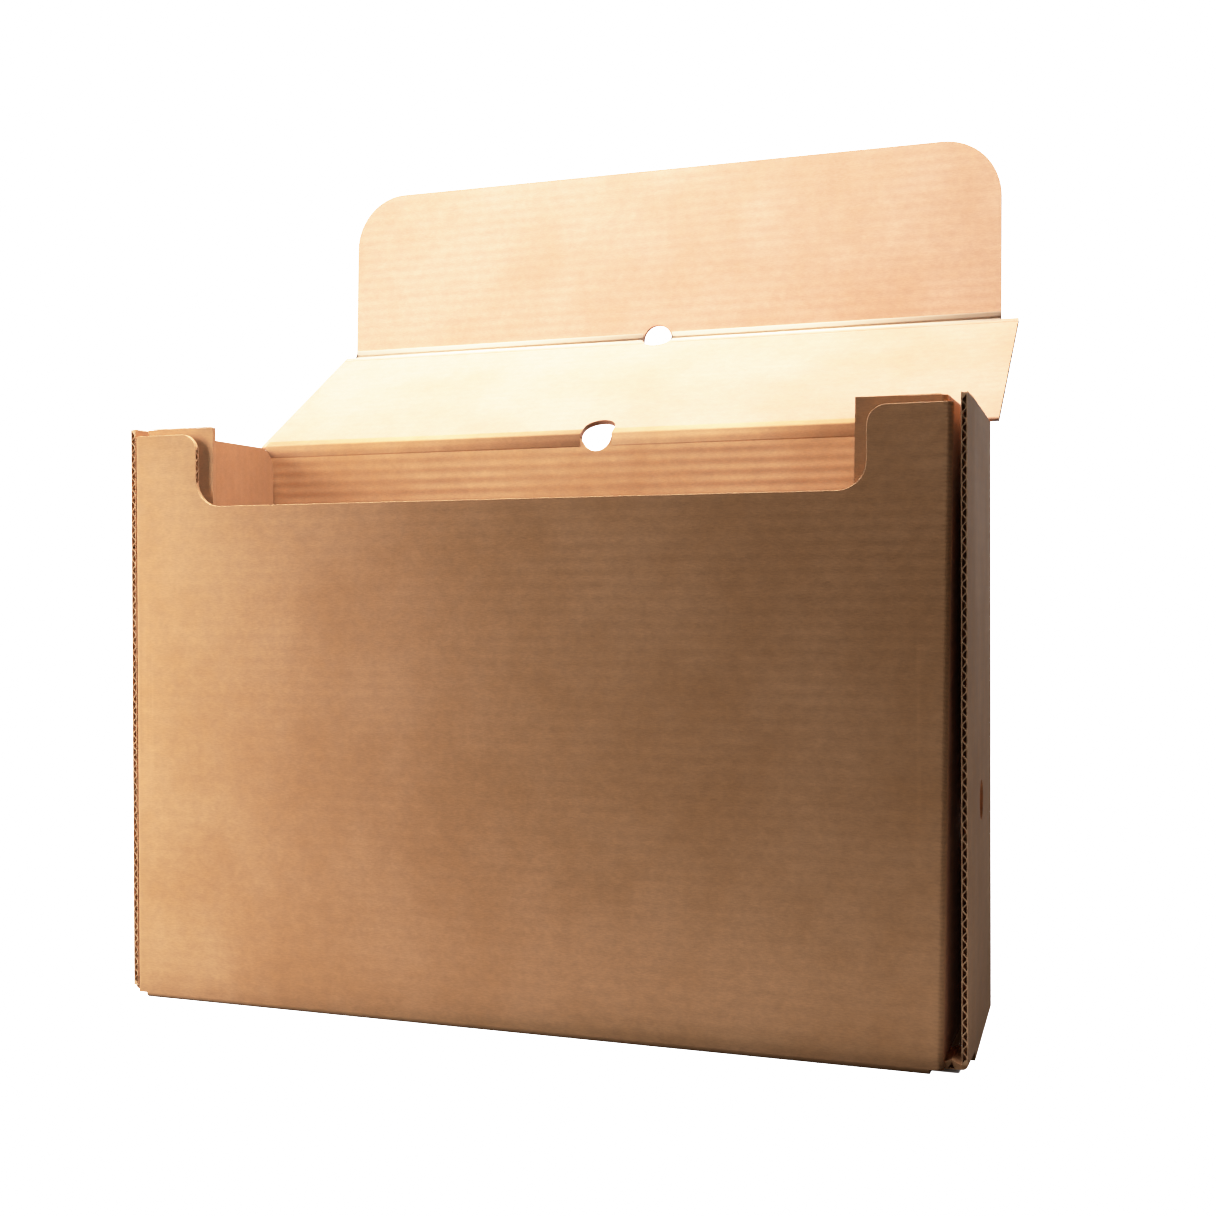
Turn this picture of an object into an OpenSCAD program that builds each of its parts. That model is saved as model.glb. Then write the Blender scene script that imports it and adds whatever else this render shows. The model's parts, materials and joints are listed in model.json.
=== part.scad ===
// Archive box folded from one die-cut sheet of corrugated board.
// The origin is on the floor under the middle of the box, +Z is up and the front panel faces -Y.

/* [Overall size] */
// Width over the two outer end panels
box_w = 450; // [360:1:560]
// Depth over the front and back panels
box_d = 135; // [100:1:180]
// Height of the end panels
box_h = 310; // [240:1:400]

/* [Board] */
// Thickness of the corrugated board
board = 2.8; // [2:0.1:4]
// Length of one wave of the flutes
flute_pitch = 6.4; // [5:0.1:9]
// Depth of the open flutes in a raw edge
flute_depth = 4; // [1:0.5:6]
// Thickness of a liner, the flat paper on each face
liner = 0.35; // [0.2:0.05:0.5]
// Thickness of the fluted paper between the liners
medium = 0.3; // [0.2:0.05:0.5]

/* [Front panel] */
// Air between the front panel's left fold and the left end panel
left_gap = 0.4; // [0.3:0.1:3]
// Air between the front panel's right fold and the right end panel, at the top
right_gap = 3.2; // [0.3:0.1:5]
// How far the right fold leans in at its foot
right_lean = 5; // [0:0.5:6]
// How far the two ears end below the end panels
ear_drop = 4; // [2:0.5:10]
// Width of an ear, from the side fold to the cut-out
ear_w = 39.2; // [30:0.2:70]
// Depth of the cut-out below the top of the ears
cut_depth = 39; // [28:1:80]
// Radius at the top of each ear
ear_r = 9; // [4:0.5:12]
// Radius in the lower corners of the cut-out
cut_r = 14; // [6:0.5:16]

/* [End walls] */
// Air between two layers of board that lie against each other
layer_gap = 0.5; // [0.3:0.1:1]
// How far the raw front edge of an outer end panel stands behind the front face
end_set = 1.4; // [0:0.2:3]
// Air under the lower edge of an outer end panel
end_lift = 0.6; // [0.4:0.1:2]
// Air between an inner end layer and the back panel
rear_clear = 2; // [1:0.5:6]
// Radius at the top rear corner of an inner end layer
rear_r = 13.5; // [5:0.5:30]
// How far an inner front flap shows past the ear in front of it
flap_past = 6.6; // [2:0.2:15]
// Length of the side flap behind the front fold
side_flap_l = 90; // [60:1:100]
// How far the right end panel's rear fold stands further in than its raw front edge
right_toe = 4.4; // [0:0.2:5]
// Diameter of the finger hole in the right end wall
finger_d = 20; // [15:0.5:30]
// Height of the finger hole's centre
finger_z = 118; // [60:1:160]

/* [Corner tabs] */
// Depth of a corner tab at the foot of an outer end panel
tab_d = 25; // [15:1:40]
// Length of a corner tab, inwards over the bottom panel
tab_l = 32; // [20:1:60]
// Air between a corner tab and the bottom panel
tab_gap = 0.3; // [0.3:0.1:1]
// How far the creased right tab bulges up beside its fold
tab_crest = 1.4; // [0:0.1:2]

/* [Lid and tuck flap] */
// Angle of the lid from shut, as the box stands
lid_open = 147; // [100:1:180]
// Fold of the tuck flap from flat, as the box stands
tuck_fold = 55; // [20:1:85]
// Height of the tuck flap from its fold
tuck_h = 110; // [60:1:150]
// Radius of the tuck flap's two outer corners
tuck_r = 35; // [10:1:50]
// Air between the tuck flap's ends and the side flaps
tuck_side = 1.5; // [1:0.1:4]
// Air on each face of the tuck flap in its slot
tuck_clear = 0.35; // [0.3:0.05:0.6]
// Air round the rolled edge of a hinge fold, and under the shut lid
hinge_gap = 0.3; // [0.2:0.05:0.6]
// Distance of the second score line from the tuck fold
score_step = 4.8; // [3.5:0.1:8]
// Depth of a score line
score_depth = 0.5; // [0.2:0.1:1]

/* [Thumb holes] */
// Width of the thumb holes on the two folds
thumb_d = 19; // [14:0.5:26]
// How far the hinge fold's thumb hole is stretched into the lid
thumb_stretch = 6; // [0:0.5:10]

/* [Hidden] */
$fn = 64;

// Share of the board that stays flat under a rolled edge before the relief starts
relief_start = 0.25;
// Depth of the relief behind the lid's rolled edge, in boards
relief_fall = 0.86;
// Step that the score line leaves at the foot of an end layer
fold_step = 0.1;
// Width of front panel drawn with each side fold
fold_strip = 10;
past = 1;
// Half width of a flute's mouth at its narrow side
cell_tip = 0.5;
// Half width of the fluted paper where it is glued to a liner
glue_half = 0.7;

// Rounds a derived length to a hundredth, so faces that meet are drawn on the same plane
function on_grid(length) = round(100 * length) / 100;

// Height along a leaning layer at which a line, inset from the side fold, reaches a level
function along(level, inset, tilt) = (level - inset * sin(tilt)) / cos(tilt);

half_w = on_grid(box_w / 2);
end_in = half_w - board;
rear_right = end_in - right_toe;
front_out = -box_d / 2;
front_in = front_out + board;
back_out = box_d / 2;
back_in = back_out - board;

// Front panel and its folds
front_left = -end_in + left_gap;
front_right = end_in - right_gap;
ear_h = box_h - ear_drop;
cut_z = ear_h - cut_depth;

// The lean's cosine has six decimals, so leaning and upright faces that are flush stay flush
lean = acos(round(1000000 * cos(atan(right_lean / ear_h))) / 1000000);
foot_right = on_grid(front_right - ear_h * tan(lean));

// End layers, measured inwards from a side fold
layer_in = 2 * board + layer_gap;
flap_out = front_in + board + 2 * tuck_clear;
flap_in = flap_out + board;
rear_edge = back_in - rear_clear;

// Corner tabs
tab_z = board + tab_gap;
tab_top = tab_z + board;
tab_front = front_in + layer_gap;
tab_rear = tab_front + tab_d;
notch_z = tab_top + 0.7;
notch_rear = tab_rear + layer_gap;
side_z = notch_z + layer_gap;

// Creases between the bottom panel and the two end layers
crease_left = front_left + layer_in + fold_step;
crease_right = on_grid(
  foot_right - layer_in * cos(lean) + along(board, layer_in, lean) * sin(lean) - fold_step
);

// Lid hinge and tuck hinge, each on the middle of the board
hinge_y = back_out - board / 2;
hinge_z = box_h + hinge_gap + board / 2;
tuck_y = front_in + tuck_clear + board / 2;
lid_reach = hinge_y - tuck_y;
edge_gap = board / 2 + hinge_gap;
tuck_left = front_left + board + tuck_side;
tuck_right = front_right - board - tuck_side;

// The thumb hole of the hinge fold is in the middle of the back panel
thumb_x = (rear_right - end_in) / 2;

// One fold: a rounded outer corner about the inner crease, which runs along +Z
module bend(run) {
  rotate_extrude(angle = 90)
    square([board, run]);
}

// A sheet drawn in Y and Z, with its thickness along +X from x
module sheet_yz(x) {
  translate([x, 0, 0])
    rotate([90, 0, 90])
      linear_extrude(board)
        children();
}

// A sheet drawn in X and Z, with its thickness along +Y from y
module sheet_xz(y) {
  translate([0, y + board, 0])
    rotate([90, 0, 0])
      linear_extrude(board)
        children();
}

// Cuts the outside of a corner of radius r whose centre is the origin
module corner_cut(r) {
  difference() {
    square(r + past);
    circle(r);
  }
}

// Outline of the cut-out, as a hole in the front panel
module cut_out() {
  left = front_left + ear_w;
  right = front_right - ear_w;
  translate([left + cut_r, cut_z])
    square([right - left - 2 * cut_r, ear_h - cut_z + past]);
  translate([left, cut_z + cut_r])
    square([right - left, ear_h - cut_z - cut_r + past]);
  for (x = [left + cut_r, right - cut_r])
    translate([x, cut_z + cut_r])
      circle(cut_r);
  translate([left - ear_r, ear_h - ear_r])
    corner_cut(ear_r);
  translate([right + ear_r, ear_h - ear_r])
    mirror([1, 0])
      corner_cut(ear_r);
}

// The front panel between its two side folds
module front_panel() {
  inset = board + fold_strip / 2;
  sheet_xz(front_out)
    difference() {
      polygon([
        [front_left + inset, board],
        [foot_right - inset, board],
        [front_right - inset, ear_h],
        [front_left + inset, ear_h]
      ]);
      cut_out();
    }
}

module back_panel() {
  sheet_xz(back_in)
    translate([-end_in, board])
      square([end_in + rear_right, box_h - board]);
}

// Places a side's folded layers: x is 0 at the side fold, inwards is -X
module at_left() {
  translate([front_left, 0, 0])
    mirror([1, 0, 0])
      children();
}

module at_right() {
  translate([foot_right, 0, 0])
    rotate([0, lean, 0])
      children();
}

// Open mouths of the flutes in a raw edge: the board's thickness is along +X, the edge runs
// along +Y and faces +Z, and the cut ends a clearance above it
module flute_mouths(run, clear = past) {
  cells = floor(2 * run / flute_pitch) - 1;
  first = (run - (cells - 1) * flute_pitch / 2) / 2;
  base = board / 2 - liner;
  wide = flute_pitch / 2 - glue_half;
  translate([board / 2, 0, -flute_depth])
    linear_extrude(flute_depth + clear)
      for (i = [0:cells - 1])
        translate([0, first + i * flute_pitch / 2])
          mirror([i % 2, 0])
            polygon([
              [-base, -wide],
              [base - medium, -cell_tip],
              [base - medium, cell_tip],
              [-base, wide]
            ]);
}

// Keeps what lies between two heights
module between(low, high) {
  intersection() {
    children();
    translate([-box_w, -box_d, low])
      cube([2 * box_w, 2 * box_d, high - low]);
  }
}

// Side fold of the front panel and its side flap, folded back inside the outer end panel
module side_flap() {
  tall = ear_h + 3 * past;
  translate([-board - fold_strip, front_out, -past])
    cube([fold_strip, board, tall]);
  translate([-board, front_in, -past])
    mirror([0, 1, 0])
      bend(tall);
  sheet_yz(-board)
    translate([front_in, side_z])
      square([side_flap_l, tall - past - side_z]);
}

// Inner end layer above its foot, with its inner front flap
module end_layer(tilt) {
  top = on_grid(along(box_h, layer_in, tilt));
  sheet_yz(-layer_in)
    difference() {
      polygon([
        [flap_in, notch_z],
        [notch_rear, notch_z],
        [notch_rear, 0],
        [rear_edge, 0],
        [rear_edge, top],
        [flap_in, top]
      ]);
      translate([rear_edge - rear_r, top - rear_r])
        corner_cut(rear_r);
    }
  translate([-layer_in, flap_in, notch_z])
    mirror([0, 1, 0])
      bend(top - notch_z);
  sheet_xz(flap_out)
    translate([-ear_w - flap_past, notch_z])
      square([ear_w + flap_past - layer_in, top - notch_z]);
}

// The layers that stand at both sides of the box
module end_folds() {
  between(board, ear_h) {
    at_left() side_flap();
    at_right() side_flap();
  }
  between(board, box_h + past) {
    at_left() end_layer(0);
    at_right() end_layer(lean);
  }
}

// Fold between the bottom panel and an end layer, whose crease is the origin
module end_foot() {
  translate([0, notch_rear, board])
    rotate([-90, 0, 0])
      bend(rear_edge - notch_rear);
}

// Bottom panel between the creases of the two end layers, with its four folds
module bottom_panel() {
  run = crease_right - crease_left;
  translate([crease_left, front_in, 0])
    cube([run, back_in - front_in, board]);
  translate([crease_left, back_in, board])
    rotate([0, 90, 0])
      bend(run);
  translate([crease_left, front_in, board])
    mirror([0, 1, 0])
      rotate([0, 90, 0])
        bend(run);
  translate([crease_right, 0, 0])
    end_foot();
  translate([crease_left, 0, 0])
    mirror([1, 0, 0])
      end_foot();
}

// Corner tab of an outer end panel, folded in over the bottom panel and creased by crest
module corner_tab(crest) {
  pinch = end_in - 0.2 * board;
  crown = pinch - 1.5 * board;
  flat = crown - 1.4 * board;
  translate([end_in, tab_front, tab_top])
    rotate([-90, 0, 0])
      bend(tab_d);
  translate([0, tab_rear, 0])
    rotate([90, 0, 0])
      linear_extrude(tab_d)
        polygon([
          [end_in, tab_z],
          [flat, tab_z],
          [end_in - tab_l, tab_z],
          [end_in - tab_l, tab_top],
          [flat, tab_top],
          [crown, tab_top + crest],
          [pinch, tab_top - crest / 2],
          [end_in, tab_top]
        ]);
}

// Outer end panel, folded round from the back panel, with a raw front edge. Behind its corner
// tab it closes in towards the back panel by toe
module outer_end(crest, toe) {
  rear = end_in - toe;
  sheet_yz(end_in)
    translate([front_out + end_set, tab_top])
      square([tab_rear - front_out - end_set, box_h - tab_top]);
  translate([0, 0, end_lift])
    linear_extrude(box_h - end_lift)
      polygon([
        [end_in, tab_rear],
        [half_w, tab_rear],
        [rear + board, back_in],
        [rear, back_in]
      ]);
  translate([rear, back_in, end_lift])
    bend(box_h - end_lift);
  corner_tab(crest);
}

module outer_ends() {
  outer_end(tab_crest, right_toe);
  mirror([1, 0, 0])
    outer_end(0, 0);
}

// Open flutes in the raw front edge of an outer end panel, and under the crest of its corner tab
module outer_end_mouths(crest) {
  translate([end_in, front_out + end_set, tab_top])
    rotate([90, 0, 0])
      flute_mouths(box_h - tab_top);
  if (crest > 0) {
    crown = end_in - 1.7 * board;
    translate([crown, tab_front + flute_depth, tab_z + liner])
      rotate([90, 0, 0])
        linear_extrude(flute_depth + tab_gap / 2)
          polygon([
            [-board / 2, 0],
            [board / 2, 0],
            [0, board + crest - 2 * liner - medium]
          ]);
  }
}

// Open flutes in one ear, in the edge that faces the cut-out at x
module ear_mouths(x) {
  low = cut_z + 2 * cut_r / 3;
  translate([x, front_out, low])
    rotate([90, 0, 90])
      flute_mouths(ear_h - ear_r / 2 - low, flute_depth);
}

// Open flutes in the top edges of an inner end layer and its inner front flap
module end_layer_mouths(tilt) {
  translate([-layer_in, flap_in, on_grid(along(box_h, layer_in, tilt))]) {
    flute_mouths(rear_edge - rear_r - flap_in);
    translate([0, flap_out - flap_in, 0])
      rotate([0, 0, 90])
        flute_mouths(ear_w + flap_past - layer_in);
  }
}

// All the open flutes of the carton
module carton_mouths() {
  outer_end_mouths(tab_crest);
  mirror([1, 0, 0])
    outer_end_mouths(0);
  ear_mouths(front_left + ear_w);
  mirror([1, 0, 0])
    ear_mouths(ear_w - front_right);
  at_left() end_layer_mouths(0);
  at_right() end_layer_mouths(lean);
}

// Finger hole through every layer of the right end wall
module finger_hole() {
  reach = 2 * layer_in + right_gap + right_lean;
  translate([half_w + past - reach, 0, finger_z])
    rotate([0, 90, 0])
      cylinder(h = reach + past, d = finger_d);
}

// Thumb hole across a fold along the X axis, stretched by a length towards -Y
module thumb_hole(stretch = 0) {
  deep = 8 * board;
  translate([0, 0, -deep / 2])
    linear_extrude(deep) {
      circle(d = thumb_d);
      if (stretch > 0) {
        translate([0, -stretch])
          circle(d = thumb_d);
        translate([-thumb_d / 2, -stretch])
          square([thumb_d, stretch]);
      }
    }
}

// Room behind the lid's rolled edge, so the lid can swing back past level
module back_relief() {
  start = hinge_y - relief_start * board;
  translate([-half_w - past, 0, 0])
    rotate([90, 0, 90])
      linear_extrude(box_w + 2 * past)
        polygon([
          [start, box_h],
          [back_out + past, box_h - relief_fall * board - past],
          [back_out + past, box_h + board],
          [start, box_h + board]
        ]);
}

module carton_body() {
  color("peru")
    difference() {
      union() {
        bottom_panel();
        back_panel();
        front_panel();
        outer_ends();
        end_folds();
      }
      finger_hole();
      back_relief();
      carton_mouths();
      translate([thumb_x, hinge_y, hinge_z])
        rotate([90, 0, 0])
          thumb_hole();
    }
}

// Moves a piece that is drawn for the shut lid to where the lid stands
module at_lid() {
  translate([0, hinge_y, hinge_z])
    rotate([-lid_open, 0, 0])
      children();
}

// Score line across the inner face of the lid, beside the tuck fold
module score_line() {
  side = score_depth + past;
  translate([-half_w - past, edge_gap + score_step - lid_reach, -board / 2])
    rotate([90, 0, 90])
      linear_extrude(box_w + 2 * past)
        polygon([
          [-side, -past],
          [side, -past],
          [0, score_depth]
        ]);
}

// Lid drawn shut, from its rolled edge towards -Y
module lid_sheet() {
  translate([0, 0, -board / 2])
    linear_extrude(board)
      difference() {
        translate([-half_w, edge_gap - lid_reach])
          square([box_w, lid_reach - edge_gap]);
        translate([0, -lid_reach])
          circle(d = thumb_d);
      }
  translate([-half_w, 0, 0])
    rotate([0, 90, 0])
      cylinder(h = box_w, d = board);
}

// Open flutes in the right-hand edge of a sheet that ends at x, from low to high along Y
module side_mouths(x, low, high) {
  translate([x, low, board / 2])
    rotate([0, 90, 0])
      flute_mouths(high - low);
}

// Open flutes in both side edges of the lid, clear of its score line and its rolled edge
module lid_mouths() {
  low = edge_gap + score_step + 2 * score_depth - lid_reach;
  side_mouths(half_w, low, -board);
  mirror([1, 0, 0])
    side_mouths(half_w, low, -board);
}

module lid_panel() {
  color("burlywood")
    at_lid()
      difference() {
        lid_sheet();
        translate([thumb_x, 0, 0])
          thumb_hole(thumb_stretch);
        score_line();
        lid_mouths();
      }
}

// Tuck flap drawn flat, from its rolled edge towards -Y
module tuck_sheet() {
  difference() {
    union() {
      translate([tuck_left, -tuck_h + tuck_r, -board / 2])
        cube([tuck_right - tuck_left, tuck_h - tuck_r, board]);
      translate([tuck_left + tuck_r, -tuck_h, -board / 2])
        cube([tuck_right - tuck_left - 2 * tuck_r, tuck_h, board]);
      for (x = [tuck_left + tuck_r, tuck_right - tuck_r])
        translate([x, -tuck_h + tuck_r, -board / 2])
          cylinder(h = board, r = tuck_r);
      translate([tuck_left, 0, 0])
        rotate([0, 90, 0])
          cylinder(h = tuck_right - tuck_left, d = board);
    }
    thumb_hole();
    tuck_mouths();
  }
}

// Open flutes in both side edges of the tuck flap, up into its rounded corners
module tuck_mouths() {
  low = 2 * tuck_r / 3 - tuck_h;
  side_mouths(tuck_right, low, -2 * board);
  mirror([1, 0, 0])
    side_mouths(-tuck_left, low, -2 * board);
}

module tuck_flap() {
  color("tan")
    at_lid()
      translate([0, -lid_reach, 0])
        rotate([tuck_fold, 0, 0])
          tuck_sheet();
}

carton_body();
lid_panel();
tuck_flap();
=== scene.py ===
"""Archive box of corrugated board, dressed for a studio picture."""

import json
import math

import bmesh
import bpy
from mathutils import Matrix, Vector


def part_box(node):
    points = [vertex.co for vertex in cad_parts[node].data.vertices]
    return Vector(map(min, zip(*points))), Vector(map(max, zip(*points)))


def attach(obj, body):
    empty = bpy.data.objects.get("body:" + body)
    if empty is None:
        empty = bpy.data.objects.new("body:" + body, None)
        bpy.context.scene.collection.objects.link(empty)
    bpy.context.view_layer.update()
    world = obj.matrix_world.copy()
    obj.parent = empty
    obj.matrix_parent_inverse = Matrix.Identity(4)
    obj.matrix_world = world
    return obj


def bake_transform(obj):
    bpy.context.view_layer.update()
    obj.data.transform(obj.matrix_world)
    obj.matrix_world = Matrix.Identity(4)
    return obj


bl_info = {
    "name": "Archive Box Looks",
    "version": (1, 0, 0),
    "blender": (4, 5, 0),
    "location": "3D View > Sidebar > Archive Box",
    "description": "Paper, folds and cut edges for a folded archive box",
    "category": "Object",
}

MM = 0.001
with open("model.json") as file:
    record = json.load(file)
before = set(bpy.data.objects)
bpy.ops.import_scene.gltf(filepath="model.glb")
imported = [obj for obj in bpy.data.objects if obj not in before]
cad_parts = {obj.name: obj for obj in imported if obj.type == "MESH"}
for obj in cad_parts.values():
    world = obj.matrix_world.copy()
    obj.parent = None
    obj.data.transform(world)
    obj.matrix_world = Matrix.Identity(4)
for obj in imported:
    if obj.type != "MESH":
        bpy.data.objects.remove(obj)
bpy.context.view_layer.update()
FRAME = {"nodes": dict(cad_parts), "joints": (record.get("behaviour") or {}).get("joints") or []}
CARTON_LOW, CARTON_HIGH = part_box("carton_body")
TUCK_LOW, TUCK_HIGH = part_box("tuck_flap")
JOINTS = {joint["name"]: joint for joint in FRAME["joints"]}
HINGE = Vector(JOINTS["lid_fold"]["pos_m"])
ROOT = Vector(JOINTS["tuck_fold"]["pos_m"])
# The lid and the tuck flap rise at these angles from +Y, as the box stands
LID_RISE = math.atan2(ROOT.z - HINGE.z, ROOT.y - HINGE.y)
TUCK_RISE = math.radians(88)
# Where the carton's layers lie, in millimetres: |X| and Y of the end layers, then Y of the inner front flaps
LAYER_SIDE = (207, 216.2)
LAYER_Y = (-58.2, 62.9)
FLAP_Y = (-61.3, -58.3)
# How bright the seamless paper is: pure white on the film
PAPER_GLOW = 4.2


def length(name, description, default_mm):
    """A length that the panel shows in the scene's units."""
    return bpy.props.FloatProperty(
        name=name, description=description, default=default_mm * MM, min=0.0, unit="LENGTH", precision=5
    )


def colour(name, description, default):
    """A colour, kept as an sRGB hex value."""
    return bpy.props.StringProperty(name=name, description=description, default=default)


def watts(name, description, default):
    """The power of a light."""
    return bpy.props.FloatProperty(name=name, description=description, default=default, min=0.0, unit="POWER")


class BoardSizes(bpy.types.PropertyGroup):
    """Sizes of the corrugated board and of the front panel's outline."""

    board: length("Board", "Thickness of the corrugated board", 2.8)
    flute_pitch: length("Flute pitch", "Length of one wave of the flutes", 6.4)
    tick_pitch: length("Tick pitch", "Distance of the small wrinkles along the right fold", 2.1)
    lip: length("Lip", "Half the width of a liner's cut edge", 0.17)
    skin: length("Fold skin", "How far a fold's liner stands proud of the board", 0.06)
    thumb: length("Thumb hole", "Half the width left free at a thumb hole", 9.6)
    thumb_set: length("Thumb hole offset", "How far the hinge hole lies to the left of the middle", 2.2)
    fold_left: length("Left fold", "Distance of the front panel's left fold from the middle", 221.8)
    fold_right: length("Right fold", "Distance of its right fold from the middle, at the top", 219.0)
    foot_right: length("Right foot", "Distance of its right fold from the middle, at the floor", 214.0)
    ear: length("Ear", "Width of an ear of the front panel", 39.2)
    ear_top: length("Ear top", "Height of the ears", 306.0)
    ear_round: length("Ear radius", "Radius at the top of an ear", 9.0)
    cut: length("Cut-out", "Height of the cut-out's lower edge", 267.0)
    cut_round: length("Cut-out radius", "Radius in the cut-out's corners", 14.0)
    tuck_height: length("Tuck height", "Height of the tuck flap from its fold", 110.0)
    tuck_round: length("Tuck radius", "Radius of the tuck flap's corners", 35.0)
    flap_past: length("Flap past ear", "How far an inner front flap shows past its ear", 6.6)
    layer_in: length("Layer inset", "Distance of an end layer's inner face from the side fold", 6.1)
    flap_front: length("Flap front", "Distance of an inner front flap from the front face", 6.3)
    edge_set: length("Edge set-back", "How far the raw front edges stand behind the front face", 1.4)
    edge_foot: length("Edge foot", "Height at which the raw front edges start", 5.9)


class KraftColours(bpy.types.PropertyGroup):
    """Colours of the papers and of the studio."""

    liner: colour("Liner", "Brown kraft liner", "#C29067")
    liner_dark: colour("Dark patches", "Liner where the pulp is darker", "#B38055")
    # Painted highlight: the lid's and the tuck flap's liner is the carton's kraft painted paler and less saturated,
    # for the strong light on them
    top: colour("Top liner", "Paler kraft liner of the lid and the tuck flap", "#C69478")
    highlit_top_dark: colour("Top patches", "Top liner where the pulp is darker", "#B98668")
    cut: colour("Cut edge", "Fresh paper along a cut", "#D8AE86")
    floor: colour("Floor", "Pale studio floor", "#FAF9F7")


class StageSettings(bpy.types.PropertyGroup):
    """Viewpoint and light of the picture."""

    camera_place: bpy.props.FloatVectorProperty(
        name="Camera",
        description="Place of the camera",
        default=(0.31617, -0.79046, 0.21947),
        subtype="TRANSLATION",
    )
    camera_yaw: bpy.props.FloatProperty(
        name="Yaw", description="Turn of the camera to the left", default=math.radians(19.994), subtype="ANGLE"
    )
    camera_pitch: bpy.props.FloatProperty(
        name="Pitch", description="Tilt of the camera downwards", default=math.radians(0.502), subtype="ANGLE"
    )
    camera_roll: bpy.props.FloatProperty(
        name="Roll", description="Roll of the camera", default=math.radians(-0.174), subtype="ANGLE"
    )
    lens: bpy.props.FloatProperty(
        name="Lens", description="Focal length of the camera", default=46.77, min=10.0, unit="CAMERA"
    )
    top_light: watts("Top light", "Softbox above the lid", 20.5)
    left_light: watts("Left light", "Softbox at the left", 4.0)
    floor_light: watts("Floor light", "Light that the floor sends up at the front", 0.27)
    back_light: watts("Back light", "Softbox behind the box", 14.0)
    right_light: watts("Right light", "Softbox at the right end", 2.0)


def linear(hex_colour):
    """sRGB hex value to a linear colour with alpha."""
    channels = [int(hex_colour[i : i + 2], 16) / 255 for i in (1, 3, 5)]
    return [c / 12.92 if c <= 0.04045 else ((c + 0.055) / 1.055) ** 2.4 for c in channels] + [1.0]


def put(tree, kind, inputs=None, **settings):
    """Adds a node with its settings. A socket given as an input is linked, and any other value is set."""
    node = tree.nodes.new(kind)
    for name, value in settings.items():
        setattr(node, name, value)
    for key, value in (inputs or {}).items():
        socket = node.inputs[key]
        if isinstance(value, bpy.types.NodeSocket):
            tree.links.new(value, socket)
        else:
            socket.default_value = value
    return node


def calc(tree, operation, first, second=0.0, third=0.0):
    """One sum of a node tree, as its result."""
    return put(tree, "ShaderNodeMath", {0: first, 1: second, 2: third}, operation=operation).outputs[0]


def ramp(tree, value, low, high, start=0.0, end=1.0):
    """Goes smoothly from start to end while a value goes from low to high."""
    inputs = {0: value, 1: low, 2: high, 3: start, 4: end}
    return put(tree, "ShaderNodeMapRange", inputs, interpolation_type="SMOOTHSTEP").outputs[0]


def band(tree, value, low, high, soft):
    """1 where a value lies between two limits, with soft sides."""
    rise = ramp(tree, value, low - soft, low + soft)
    return calc(tree, "MULTIPLY", rise, ramp(tree, value, high - soft, high + soft, 1.0, 0.0))


def choose(tree, mask, first, second, kind="FLOAT"):
    """The first value or colour where the mask is 0, and the second where it is 1."""
    inputs, output = ((2, 3), 0) if kind == "FLOAT" else ((6, 7), 2)
    values = {0: mask, inputs[0]: first, inputs[1]: second}
    return put(tree, "ShaderNodeMix", values, data_type=kind).outputs[output]


def new_material(name):
    """An empty node material with its principled shader."""
    material = bpy.data.materials.new(name)
    material.use_nodes = True
    tree = material.node_tree
    tree.nodes.clear()
    shader = put(tree, "ShaderNodeBsdfPrincipled")
    put(tree, "ShaderNodeOutputMaterial", {"Surface": shader.outputs[0]})
    return material, tree, shader


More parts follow.
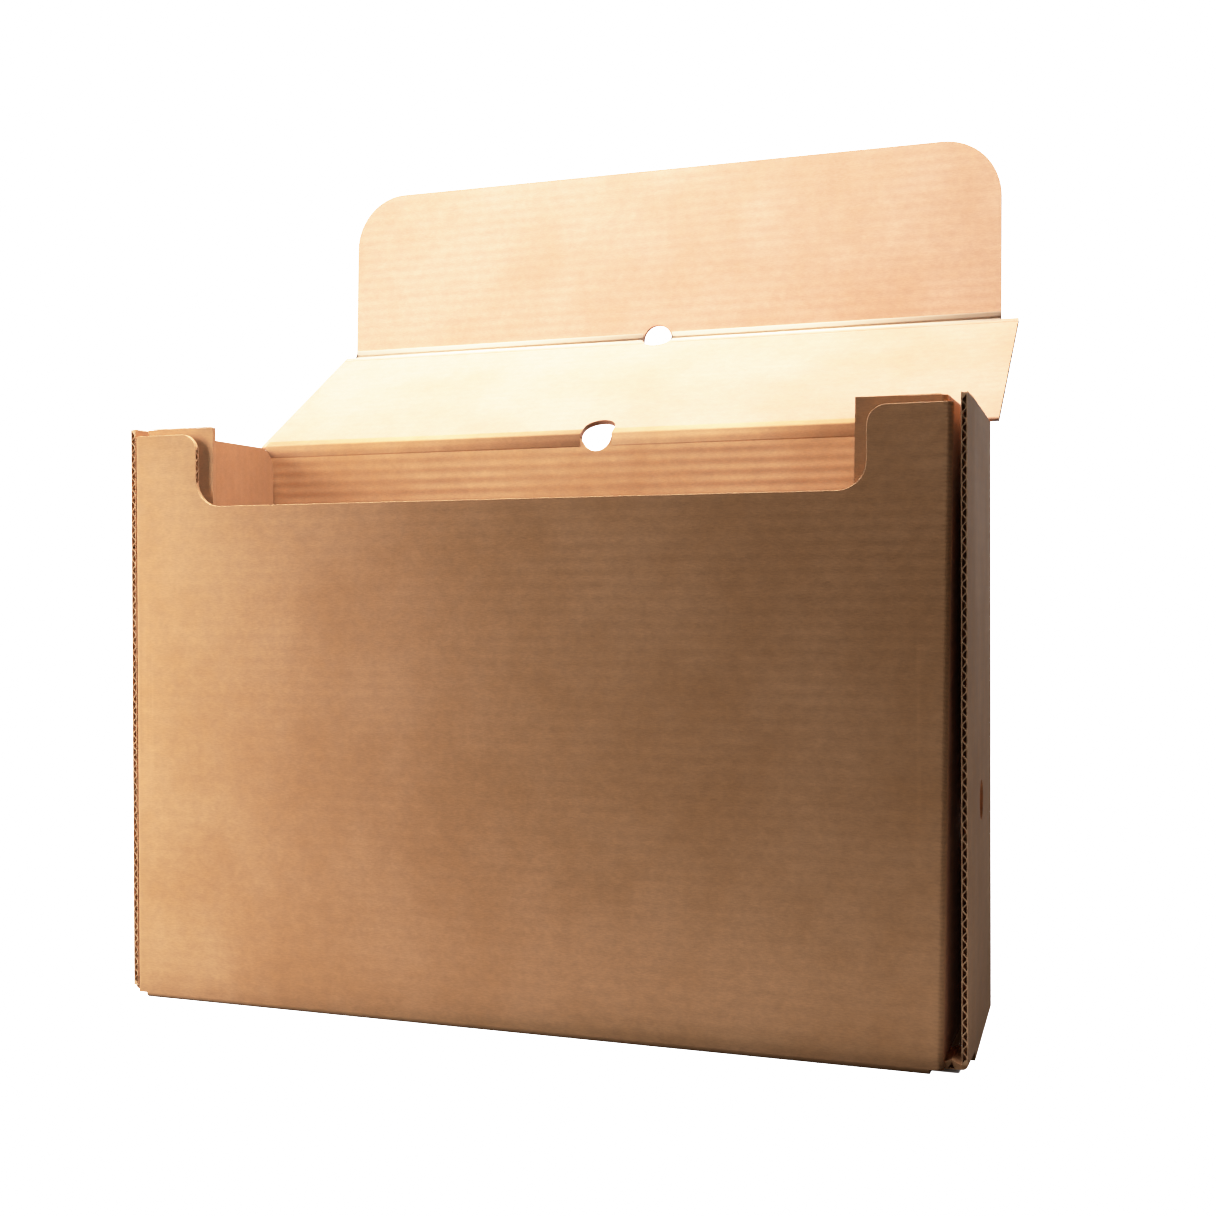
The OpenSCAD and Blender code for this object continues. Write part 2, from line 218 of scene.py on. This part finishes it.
def kraft_board(name, papers, sizes, rise=math.pi / 2, ribs=0.22, carton=False):
    """Corrugated board with a brown kraft liner.

    The matt paper is cloudy and fibrous, and the flutes press through it as soft ribs across the box, as a bump and as
    painted light and shade in the colour.
    papers are the colours of the dark patches, of the liner and of its cut edge. rise is the angle of the
    sheet from +Y, and ribs says how much its flutes show. The carton has layers whose flutes run upwards,
    a back panel whose ribs show most, and wrinkles along one fold.
    """
    material, tree, shader = new_material(name)
    place = put(tree, "ShaderNodeTexCoord").outputs["Object"]
    turned = put(tree, "ShaderNodeMapping", {"Vector": place, "Rotation": (math.pi / 2 - rise, 0, 0)})
    x, _, run = put(tree, "ShaderNodeSeparateXYZ", {0: turned.outputs[0]}).outputs
    _, y, z = put(tree, "ShaderNodeSeparateXYZ", {0: place}).outputs
    side = calc(tree, "ABSOLUTE", x)
    shown = ribs
    if carton:
        between_ends = band(tree, y, LAYER_Y[0] * MM, LAYER_Y[1] * MM, 0.2 * MM)
        layer = band(tree, side, LAYER_SIDE[0] * MM, LAYER_SIDE[1] * MM, 0.2 * MM)
        layer = calc(tree, "MULTIPLY", between_ends, layer)
        flap = band(tree, y, FLAP_Y[0] * MM, FLAP_Y[1] * MM, 0.05 * MM)
        run = choose(tree, layer, run, y)
        run = choose(tree, flap, run, x)
        shown = ramp(tree, y, 55 * MM, 63 * MM, ribs, 1.0)
    uneven = put(tree, "ShaderNodeTexNoise", {"Vector": place, "Scale": 22.0, "Detail": 2.0}).outputs[0]
    wave = calc(tree, "SINE", calc(tree, "MULTIPLY", run, 2 * math.pi / sizes.flute_pitch))
    wave = calc(tree, "MULTIPLY", wave, ramp(tree, uneven, 0.25, 0.75, 0.35, 1.0))
    wave = calc(tree, "MULTIPLY", wave, shown)

    cloud = put(tree, "ShaderNodeTexNoise", {"Vector": place, "Scale": 11.0, "Detail": 5.0, "Roughness": 0.65})
    pulp = put(tree, "ShaderNodeTexNoise", {"Vector": place, "Scale": 150.0, "Detail": 5.0, "Roughness": 0.7})
    # Pulp fibres are 0.03 mm wide and 2 mm long, and are drawn 0.5 mm wide so that they show
    grain = put(tree, "ShaderNodeMapping", {"Vector": place, "Scale": (420.0, 1500.0, 1900.0)})
    fibre = put(tree, "ShaderNodeTexNoise", {"Vector": grain.outputs[0], "Scale": 1.0, "Detail": 3.0})
    fibre = fibre.outputs[0]
    patches = ramp(tree, cloud.outputs[0], 0.3, 0.7)
    base = choose(tree, patches, linear(papers[0]), linear(papers[1]), "RGBA")
    shade = ramp(tree, pulp.outputs[0], 0.3, 0.7, 0.93, 1.06)
    shade = calc(tree, "MULTIPLY", shade, ramp(tree, fibre, 0.3, 0.7, 0.94, 1.06))
    # Painted light and shade of the flute ribs: the colour is lighter on their crests and darker in their troughs
    shade = calc(tree, "MULTIPLY", shade, calc(tree, "MULTIPLY_ADD", wave, 0.07, 1.0))
    height = calc(tree, "MULTIPLY", wave, 0.07 * MM)
    if carton:
        # Small wrinkles where the liner was crushed along the front panel's right fold: a bump, with painted shade
        # darkening the colour in their dips
        lean = (sizes.fold_right - sizes.foot_right) / sizes.ear_top
        inset = calc(tree, "SUBTRACT", calc(tree, "MULTIPLY_ADD", z, lean, sizes.foot_right), x)
        fold = ramp(tree, inset, 1.0 * MM, 5.5 * MM, 1.0, 0.0)
        fold = calc(tree, "MULTIPLY", fold, ramp(tree, inset, -1.0 * MM, 0.5 * MM))
        fold = calc(tree, "MULTIPLY", fold, ramp(tree, y, -66.5 * MM, -65.5 * MM, 1.0, 0.0))
        turns = calc(tree, "MULTIPLY_ADD", z, math.pi / sizes.tick_pitch, calc(tree, "MULTIPLY", uneven, 30.0))
        ticks = calc(tree, "POWER", calc(tree, "ABSOLUTE", calc(tree, "SINE", turns)), 3.0)
        ticks = calc(tree, "MULTIPLY", ticks, fold)
        # Painted shade in the wrinkles' dips
        shade = calc(tree, "MULTIPLY", shade, calc(tree, "MULTIPLY_ADD", ticks, -0.13, 1.0))
        height = calc(tree, "MULTIPLY_ADD", ticks, -0.04 * MM, height)
        # Rubbed streaks beside both side folds
        drawn = put(tree, "ShaderNodeMapping", {"Vector": place, "Scale": (260.0, 260.0, 9.0)})
        streak = put(tree, "ShaderNodeTexNoise", {"Vector": drawn.outputs[0], "Scale": 1.0, "Detail": 3.0})
        rubbed = calc(tree, "MULTIPLY", ramp(tree, side, 190 * MM, 212 * MM), ramp(tree, streak.outputs[0], 0.5, 0.75))
        rubbed = calc(tree, "MULTIPLY", rubbed, band(tree, z, 110 * MM, 210 * MM, 45 * MM))
        shade = calc(tree, "MULTIPLY_ADD", rubbed, 0.12, shade)
    tinted = put(tree, "ShaderNodeVectorMath", {0: base, "Scale": shade}, operation="SCALE").outputs[0]
    # Raw edges are fresh paper, lighter than the liner
    if carton:
        edge = ramp(tree, side, 221.9 * MM, 222.1 * MM)
        edge = calc(tree, "MULTIPLY", edge, ramp(tree, y, -65.9 * MM, -65.7 * MM, 1.0, 0.0))
    else:
        edge = ramp(tree, side, 224.75 * MM, 224.95 * MM)
    tinted = choose(tree, calc(tree, "MULTIPLY", edge, 0.7), tinted, linear(papers[2]), "RGBA")
    tree.links.new(tinted, shader.inputs["Base Color"])

    height = calc(tree, "MULTIPLY_ADD", fibre, 0.025 * MM, height)
    height = calc(tree, "MULTIPLY_ADD", pulp.outputs[0], 0.05 * MM, height)
    height = calc(tree, "MULTIPLY_ADD", cloud.outputs[0], 0.6 * MM, height)
    bump = put(tree, "ShaderNodeBump", {"Strength": 1.0, "Distance": 1.0, "Height": height})
    tree.links.new(bump.outputs[0], shader.inputs["Normal"])
    tree.links.new(ramp(tree, pulp.outputs[0], 0.3, 0.7, 0.74, 0.9), shader.inputs["Roughness"])
    shader.inputs["Specular IOR Level"].default_value = 0.3
    shader.inputs["Sheen Weight"].default_value = 0.08
    shader.inputs["Sheen Roughness"].default_value = 0.5
    return material


def cut_paper(colours):
    """Freshly cut liner paper: lighter, rougher and fibrous."""
    material, tree, shader = new_material("cut_liner_paper")
    place = put(tree, "ShaderNodeTexCoord").outputs["Object"]
    fibre = put(tree, "ShaderNodeTexNoise", {"Vector": place, "Scale": 700.0, "Detail": 3.0}).outputs[0]
    mixed = choose(tree, ramp(tree, fibre, 0.35, 0.65), linear(colours.liner), linear(colours.cut), "RGBA")
    tree.links.new(mixed, shader.inputs["Base Color"])
    shader.inputs["Roughness"].default_value = 0.9
    shader.inputs["Specular IOR Level"].default_value = 0.25
    return material


def finish_piece(name, bm, material):
    """Turns a bmesh into a piece of one material."""
    bmesh.ops.recalc_face_normals(bm, faces=bm.faces)
    mesh = bpy.data.meshes.new(name)
    bm.to_mesh(mesh)
    bm.free()
    mesh.materials.append(material)
    piece = bpy.data.objects.new(name, mesh)
    bpy.context.scene.collection.objects.link(piece)
    return piece


def at_angle(centre, radius, angle):
    """Point in the Y and Z plane at an angle from +Y about a centre."""
    return Vector((0, centre.y + radius * math.cos(angle), centre.z + radius * math.sin(angle)))


def arc(centre, radius, start, end, steps=8):
    """Points of an arc in a plane, from one angle to another in degrees."""
    turns = [math.radians(start + (end - start) * i / steps) for i in range(steps + 1)]
    return [(centre[0] + radius * math.cos(t), centre[1] + radius * math.sin(t)) for t in turns]


def paper_strip(bm, line, spans, thickness):
    """Paper that follows a line in Y and Z, over one or more spans in X."""
    last = len(line) - 1
    normals = []
    for i in range(last + 1):
        along = (line[min(i + 1, last)] - line[max(i - 1, 0)]).normalized()
        normals.append(Vector((0, -along.z, along.y)))
    for low, high in spans:
        rings = []
        for x in (low, high):
            upper = [bm.verts.new((x, p.y, p.z)) for p in line]
            sunk = [p - n * thickness for p, n in zip(line, normals)]
            lower = [bm.verts.new((x, p.y, p.z)) for p in sunk]
            rings.append(upper + lower[::-1])
        for i in range(len(rings[0])):
            j = (i + 1) % len(rings[0])
            bm.faces.new((rings[0][i], rings[0][j], rings[1][j], rings[1][i]))
        bm.faces.new(rings[0])
        bm.faces.new(rings[1][::-1])


def lip_tree(material):
    """Geometry Nodes: a thin ragged lip of paper along every line of a mesh of edges."""
    tree = bpy.data.node_groups.new("cut_lip", "GeometryNodeTree")
    sockets = tree.interface
    sockets.new_socket("Geometry", in_out="INPUT", socket_type="NodeSocketGeometry")
    for name in ("Step", "Radius", "Ragged", "Grain"):
        sockets.new_socket(name, in_out="INPUT", socket_type="NodeSocketFloat")
    sockets.new_socket("Geometry", in_out="OUTPUT", socket_type="NodeSocketGeometry")
    given = put(tree, "NodeGroupInput").outputs
    curve = put(tree, "GeometryNodeMeshToCurve", {0: given["Geometry"]})
    steps = {"Curve": curve.outputs[0], "Length": given["Step"]}
    even = put(tree, "GeometryNodeResampleCurve", steps, mode="LENGTH")
    place = put(tree, "GeometryNodeInputPosition").outputs[0]
    noise = put(tree, "ShaderNodeTexNoise", {"Vector": place, "Scale": given["Grain"], "Detail": 2.0})
    noise_and_middle = {0: noise.outputs["Color"], 1: (0.5, 0.5, 0.5)}
    centred = put(tree, "ShaderNodeVectorMath", noise_and_middle, operation="SUBTRACT")
    reach = {0: centred.outputs[0], "Scale": given["Ragged"]}
    shift = put(tree, "ShaderNodeVectorMath", reach, operation="SCALE")
    moved = put(tree, "GeometryNodeSetPosition", {"Geometry": even.outputs[0], "Offset": shift.outputs[0]})
    profile = put(tree, "GeometryNodeCurvePrimitiveCircle", {"Resolution": 4, "Radius": given["Radius"]})
    parts = {"Curve": moved.outputs[0], "Profile Curve": profile.outputs[0], "Fill Caps": True}
    tube = put(tree, "GeometryNodeCurveToMesh", parts)
    real = put(tree, "GeometryNodeRealizeInstances", {0: tube.outputs[0]})
    painted = put(tree, "GeometryNodeSetMaterial", {"Geometry": real.outputs[0], "Material": material})
    put(tree, "NodeGroupOutput", {0: painted.outputs[0]})
    return tree


def grown(name, guide, tree, values, body):
    """Runs a node tree on a guide mesh, and makes its result a plain piece that rides on a body."""
    carrier = bpy.data.objects.new(name + "_guide", guide)
    bpy.context.scene.collection.objects.link(carrier)
    nodes = carrier.modifiers.new("nodes", "NODES")
    nodes.node_group = tree
    for item in tree.interface.items_tree:
        if item.in_out == "INPUT" and item.name in values:
            nodes[item.identifier] = values[item.name]
    mesh = bpy.data.meshes.new_from_object(carrier.evaluated_get(bpy.context.evaluated_depsgraph_get()))
    mesh.name = name
    bpy.data.objects.remove(carrier)
    bpy.data.meshes.remove(guide)
    piece = bpy.data.objects.new(name, mesh)
    bpy.context.scene.collection.objects.link(piece)
    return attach(piece, body)


def guide_mesh(lines):
    """A mesh of edges along several lines of points."""
    mesh = bpy.data.meshes.new("guide")
    points, edges = [], []
    for line in lines:
        start = len(points)
        points += [tuple(p) for p in line]
        edges += [(i, i + 1) for i in range(start, start + len(line) - 1)]
    mesh.from_pydata(points, edges, [])
    return mesh


class ARCHIVE_OT_stage(bpy.types.Operator):
    """Makes the floor with its backdrop, the lights and the camera"""

    bl_idname = "archive_box.stage"
    bl_label = "Stage"

    def softbox(self, name, place, target, size, watts, spread=180.0):
        """A soft light that looks at a point, and isn't seen itself."""
        data = bpy.data.lights.new(name, "AREA")
        data.shape = "RECTANGLE"
        data.size, data.size_y = size
        data.energy = watts
        data.color = (1.0, 0.97, 0.94)
        data.spread = math.radians(spread)
        light = bpy.data.objects.new(name, data)
        light.location = place
        light.rotation_euler = (Vector(target) - Vector(place)).to_track_quat("-Z", "Y").to_euler()
        light.visible_camera = False
        bpy.context.scene.collection.objects.link(light)

    def sweep(self, colours):
        """White seamless paper: a floor that curves up all round, and glows everywhere but in a painted shadow where
        the box stands.
        """
        material, tree, shader = new_material("seamless_paper")
        place = put(tree, "ShaderNodeTexCoord").outputs["Object"]
        cloud = put(tree, "ShaderNodeTexNoise", {"Vector": place, "Scale": 2.0, "Detail": 3.0}).outputs[0]
        paper_colour = choose(tree, cloud, linear(colours.floor), linear("#FFFFFF"), "RGBA")
        tree.links.new(paper_colour, shader.inputs["Base Color"])
        shader.inputs["Roughness"].default_value = 0.9
        shader.inputs["Emission Color"].default_value = (1.0, 1.0, 1.0, 1.0)
        x, y, _ = put(tree, "ShaderNodeSeparateXYZ", {0: place}).outputs
        # Painted shadow: no glow within the box's footprint, so the paper is dark there
        painted_shadow = calc(tree, "MULTIPLY", band(tree, x, -0.216, 0.2205, 0.001), band(tree, y, -0.06, 0.026, 0.002))
        tree.links.new(ramp(tree, painted_shadow, 0.0, 1.0, PAPER_GLOW, 0.0), shader.inputs["Emission Strength"])
        profile = arc((1.6, 1.6), 1.6, -90, 0, 12) + [(3.2, 6.0)]
        sides = 48
        turns = [2 * math.pi * i / sides for i in range(sides)]
        bm = bmesh.new()
        rows = [[bm.verts.new((r * math.cos(t), r * math.sin(t), z)) for t in turns] for r, z in profile]
        bm.faces.new(rows[0])
        for low, high in zip(rows, rows[1:]):
            for i in range(sides):
                bm.faces.new((low[i - 1], low[i], high[i], high[i - 1]))
        paper = finish_piece("seamless_sweep", bm, material)
        # The paper is as bright as in the picture, and its light on the box comes from the lights below
        paper.visible_diffuse = False
        paper.visible_glossy = False
        paper.visible_shadow = False

    def film(self, scene):
        """Film curve: true up to middle tones, with highlights that roll off to white."""
        view = scene.view_settings
        view.view_transform = "Standard"
        view.use_curve_mapping = True
        curves = view.curve_mapping
        brightest = 4.0
        curves.white_level = (brightest, brightest, brightest)
        curve = curves.curves[3]
        shoulder = ((0.25, 0.25), (0.5, 0.5), (0.8, 0.72), (1.1, 0.86), (1.5, 0.95), (2.4, 0.985))
        for light, shown in shoulder:
            curve.points.new(light / brightest, shown)
        curves.update()

    def execute(self, context):
        settings = context.scene.archive_stage
        self.sweep(context.scene.archive_colours)
        self.film(context.scene)
        world = bpy.data.worlds.new("studio")
        world.use_nodes = True
        world.node_tree.nodes["Background"].inputs[0].default_value = (1.0, 0.85, 0.72, 1.0)
        world.node_tree.nodes["Background"].inputs[1].default_value = 0.03
        context.scene.world = world
        # Place, target, size and power, and the angle of a beam that is kept off the front's right half
        softboxes = {
            "top_softbox": ((-0.08, -0.065, 0.95), (0.0, 0.12, 0.38), (0.58, 0.25), settings.top_light),
            "left_softbox": ((-0.56, -0.4, 0.35), (-0.47, -0.07, 0.17), (0.3, 0.4), settings.left_light, 110.0),
            "floor_bounce": ((0.0, -0.14, 0.003), (0.0, -0.14, 1.0), (0.9, 0.12), settings.floor_light),
            "back_softbox": ((0.1, 1.4, 0.7), (0.0, 0.1, 0.2), (1.4, 1.0), settings.back_light),
            "right_softbox": ((1.1, 0.45, 0.5), (0.0, 0.0, 0.2), (0.6, 0.6), settings.right_light),
        }
        for name, choices in softboxes.items():
            self.softbox(name, *choices)

        yaw, pitch, roll = settings.camera_yaw, settings.camera_pitch, settings.camera_roll
        ahead = Vector((-math.sin(yaw) * math.cos(pitch), math.cos(yaw) * math.cos(pitch), -math.sin(pitch)))
        level = Vector((math.cos(yaw), math.sin(yaw), 0))
        upright = level.cross(ahead)
        right = math.cos(roll) * level + math.sin(roll) * upright
        up = math.cos(roll) * upright - math.sin(roll) * level
        data = bpy.data.cameras.new("studio_camera")
        data.sensor_width = 36.0
        data.lens = settings.lens
        data.clip_start = 0.01
        camera = bpy.data.objects.new("studio_camera", data)
        turn = Matrix((right, up, -ahead)).transposed().to_4x4()
        camera.matrix_world = Matrix.Translation(settings.camera_place) @ turn
        context.scene.collection.objects.link(camera)
        context.scene.camera = camera
        return {"FINISHED"}


class ARCHIVE_OT_board(bpy.types.Operator):
    """Gives the carton, the lid and the tuck flap their kraft board"""

    bl_idname = "archive_box.board"
    bl_label = "Board finish"

    def execute(self, context):
        sizes = context.scene.archive_sizes
        colours = context.scene.archive_colours
        papers = (colours.liner_dark, colours.liner, colours.cut)
        # The lid and the tuck flap take the liner copy with the painted highlight
        highlit_papers = (colours.highlit_top_dark, colours.top, colours.cut)
        finishes = {
            "carton_body": kraft_board("kraft_board_carton", papers, sizes, carton=True),
            "lid_panel": kraft_board("kraft_board_lid", highlit_papers, sizes, rise=LID_RISE, ribs=0.25),
            "tuck_flap": kraft_board("kraft_board_tuck", highlit_papers, sizes, rise=TUCK_RISE, ribs=0.45),
        }
        for node, material in finishes.items():
            slots = FRAME["nodes"][node].material_slots
            if slots:
                for slot in slots:
                    slot.material = material
            else:
                FRAME["nodes"][node].data.materials.append(material)
        return {"FINISHED"}


class ARCHIVE_OT_folds(bpy.types.Operator):
    """Lays the liner papers over the folds of the lid and the tuck flap"""

    bl_idname = "archive_box.folds"
    bl_label = "Fold liners"

    def fold(self, name, line, spans, material, bodies, start, end):
        """One liner across a fold, which bends between the points numbered start and end of its line; start and end
        are not used.
        """
        bm = bmesh.new()
        paper_strip(bm, line, spans, 0.1 * MM)
        piece = finish_piece(name, bm, material)
        for polygon in piece.data.polygons:
            polygon.use_smooth = len(polygon.vertices) == 4
        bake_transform(piece)

    def flat(self, centre, skin, facing, rise, steps):
        """Points along a panel's face, with the outermost one sunk into the board."""
        foot = at_angle(centre, skin, facing)
        deep = at_angle(centre, skin - 0.14 * MM, facing)
        run = at_angle(Vector(), 1.0, rise)
        far = max(steps, key=abs)
        # The steps are millimetres along the panel from the fold
        return [(deep if s == far else foot) + run * s * MM for s in steps]

    def execute(self, context):
        sizes = context.scene.archive_sizes
        skin = sizes.board / 2 + sizes.skin
        square = math.pi / 2
        carton_paper = bpy.data.materials["kraft_board_carton"]
        lid_paper = bpy.data.materials["kraft_board_lid"]

        hole = -sizes.thumb_set
        spans = [(CARTON_LOW.x + 3 * MM, hole - sizes.thumb), (hole + sizes.thumb, sizes.fold_right - 2 * MM)]
        inner = self.flat(HINGE, skin, 2 * square, square, (-8, -6, -3))
        inner += [at_angle(HINGE, skin, math.radians(180 - i * 9.5)) for i in range(7)]
        inner += self.flat(HINGE, skin, LID_RISE + square, LID_RISE, (2, 4, 6))
        self.fold("hinge_liner_inside", inner, spans, carton_paper, ("carton", "lid"), 3, 9)
        outer = self.flat(HINGE, skin, 0.0, square, (-10, -8, -5.4))
        outer += [HINGE + Vector((0, y * MM, z * MM)) for y, z in ((1.6, -3.6), (2.0, -2.0), (2.5, -0.6))]
        outer += self.flat(HINGE, skin, LID_RISE - square, LID_RISE, (3.4, 5, 7))
        self.fold("hinge_liner_outside", outer, spans, carton_paper, ("carton", "lid"), 2, 6)

        spans = [(TUCK_LOW.x + 0.2 * MM, -sizes.thumb), (sizes.thumb, TUCK_HIGH.x - 0.2 * MM)]
        inner = self.flat(ROOT, skin, LID_RISE + square, LID_RISE, (-4.2, -3.4, -2.4))
        inner += [at_angle(ROOT, skin * 1.1, math.radians(a)) for a in (143, 150, 158)]
        inner += self.flat(ROOT, skin, TUCK_RISE + square, TUCK_RISE, (2.4, 4, 6))
        self.fold("tuck_liner_inside", inner, spans, lid_paper, ("lid", "tuck"), 2, 6)
        outer = self.flat(ROOT, skin, LID_RISE - square, LID_RISE, (-6, -4, -1.5))
        outer += [at_angle(ROOT, skin, math.radians(a)) for a in (-57, -46, -35, -24, -13, -2)]
        outer += self.flat(ROOT, skin, TUCK_RISE - square, TUCK_RISE, (2, 4, 6))
        self.fold("tuck_liner_outside", outer, spans, lid_paper, ("lid", "tuck"), 2, 9)
        return {"FINISHED"}


class ARCHIVE_OT_cut_edges(bpy.types.Operator):
    """Runs a ragged lip of cut liner along the board's edges"""

    bl_idname = "archive_box.cut_edges"
    bl_label = "Cut edges"

    def front_outline(self, sizes):
        """The front panel's upper outline in X and Z, from the left fold to the right fold."""
        left = -sizes.fold_left + sizes.ear
        right = sizes.fold_right - sizes.ear
        ear_mid = sizes.ear_top - sizes.ear_round
        cut_mid = sizes.cut + sizes.cut_round
        line = [(-sizes.fold_left + sizes.board, sizes.ear_top)]
        line += arc((left - sizes.ear_round, ear_mid), sizes.ear_round, 90, 0)
        line += arc((left + sizes.cut_round, cut_mid), sizes.cut_round, 180, 270)
        line += arc((right - sizes.cut_round, cut_mid), sizes.cut_round, 270, 360)
        line += arc((right + sizes.ear_round, ear_mid), sizes.ear_round, 180, 90)
        return line + [(sizes.fold_right - sizes.board, sizes.ear_top)]

    def carton_lines(self, sizes):
        """Cut edges of the carton."""
        inset = sizes.lip
        front = CARTON_LOW.y
        top = CARTON_HIGH.z - inset
        lines = []
        for y in (front + inset, front + sizes.board - inset):
            lines.append([(x, y, z) for x, z in self.front_outline(sizes)])
        for side in (-1, 1):
            for x in (side * (CARTON_HIGH.x - inset), side * (CARTON_HIGH.x - sizes.board + inset)):
                raw = front + sizes.edge_set + inset / 2
                lines.append([(x, raw, sizes.edge_foot), (x, raw, top), (x, front + 28 * MM, top)])
        for side, fold in ((-1, sizes.fold_left), (1, sizes.fold_right)):
            free = side * (fold - sizes.ear - sizes.flap_past + inset)
            bend = side * (fold - sizes.layer_in - inset)
            for y in (front + sizes.flap_front + inset, front + sizes.flap_front + sizes.board - inset):
                lines.append([(free, y, sizes.cut), (free, y, top), (bend, y, top)])
        return lines

    def lid_lines(self, sizes):
        """Cut edges of the lid: both faces of both sides."""
        lines = []
        for facing in (-1, 1):
            offset = at_angle(Vector(), sizes.board / 2 - sizes.lip, LID_RISE + facing * math.pi / 2)
            start = HINGE + at_angle(Vector(), sizes.board, LID_RISE) + offset
            end = ROOT - at_angle(Vector(), sizes.board, LID_RISE) + offset
            for side in (-1, 1):
                x = side * (CARTON_HIGH.x - sizes.lip)
                lines.append([(x, start.y, start.z), (x, end.y, end.z)])
        return lines

    def tuck_lines(self, sizes):
        """Cut edges of the tuck flap: the whole outline on both faces."""
        low, high = TUCK_LOW.x + sizes.lip, TUCK_HIGH.x - sizes.lip
        radius = sizes.tuck_round - sizes.lip
        tall = sizes.tuck_height - sizes.lip
        outline = [(low, sizes.board)]
        outline += arc((low + radius, tall - radius), radius, 180, 90, 16)
        outline += arc((high - radius, tall - radius), radius, 90, 0, 16)
        outline += [(high, sizes.board)]
        lines = []
        for facing in (-1, 1):
            offset = ROOT + at_angle(Vector(), sizes.board / 2 - sizes.lip, TUCK_RISE + facing * math.pi / 2)
            up = at_angle(Vector(), 1.0, TUCK_RISE)
            lines.append([(x, offset.y + up.y * h, offset.z + up.z * h) for x, h in outline])
        return lines

    def execute(self, context):
        sizes = context.scene.archive_sizes
        tree = lip_tree(cut_paper(context.scene.archive_colours))
        values = {"Step": 0.9 * MM, "Radius": sizes.lip, "Ragged": 0.22 * MM, "Grain": 420.0}
        rows = {
            "carton": self.carton_lines(sizes),
            "lid": self.lid_lines(sizes),
            "tuck": self.tuck_lines(sizes),
        }
        for body, lines in rows.items():
            piece = grown("cut_lips_" + body, guide_mesh(lines), tree, values, body)
        return {"FINISHED"}


class ARCHIVE_PT_panel(bpy.types.Panel):
    """Lists the steps and the sizes"""

    bl_idname = "ARCHIVE_PT_panel"
    bl_label = "Archive Box"
    bl_space_type = "VIEW_3D"
    bl_region_type = "UI"
    bl_category = "Archive Box"

    def draw(self, context):
        scene = context.scene
        for operator in OPERATORS:
            self.layout.operator(operator.bl_idname)
        for group in (scene.archive_sizes, scene.archive_colours, scene.archive_stage):
            for name in group.__annotations__:
                self.layout.prop(group, name)


OPERATORS = (ARCHIVE_OT_stage, ARCHIVE_OT_board, ARCHIVE_OT_folds, ARCHIVE_OT_cut_edges)
CLASSES = (BoardSizes, KraftColours, StageSettings, *OPERATORS, ARCHIVE_PT_panel)


def register():
    for cls in CLASSES:
        bpy.utils.register_class(cls)
    bpy.types.Scene.archive_sizes = bpy.props.PointerProperty(type=BoardSizes)
    bpy.types.Scene.archive_colours = bpy.props.PointerProperty(type=KraftColours)
    bpy.types.Scene.archive_stage = bpy.props.PointerProperty(type=StageSettings)


def unregister():
    del bpy.types.Scene.archive_stage
    del bpy.types.Scene.archive_colours
    del bpy.types.Scene.archive_sizes
    for cls in reversed(CLASSES):
        bpy.utils.unregister_class(cls)


def main():
    register()
    bpy.ops.archive_box.stage()
    bpy.ops.archive_box.board()
    bpy.ops.archive_box.folds()
    bpy.ops.archive_box.cut_edges()


if __name__ == "__main__":
    main()
